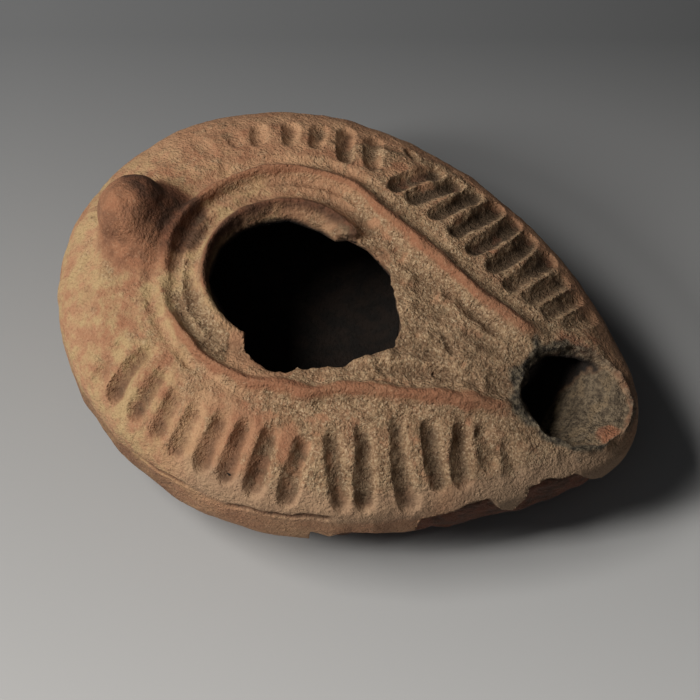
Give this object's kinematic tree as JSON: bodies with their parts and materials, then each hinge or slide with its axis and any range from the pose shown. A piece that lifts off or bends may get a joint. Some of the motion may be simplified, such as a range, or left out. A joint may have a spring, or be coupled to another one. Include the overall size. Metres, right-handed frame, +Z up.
{
  "type": "terracotta oil lamp",
  "caption": "Ancient mould-made clay oil lamp, pointed oval, hollow, with broken filling hole, wick hole, knob handle, keyhole ridge and fluted shoulder.",
  "frame": {"origin": "on the plane the lamp stands on, under the middle of its length and width", "axes": "+Z up; +X along the length towards the nozzle and wick hole, the knob handle is towards -X; +Y across"},
  "size_m": [0.0958, 0.0704, 0.035],
  "materials": {
    "fired_clay": "matt, worn and gritty, with pale encrustation and soot at the wick hole"
  },
  "bodies": {
    "root": {"lamp_body": "fired_clay"}
  },
  "joints": []
}
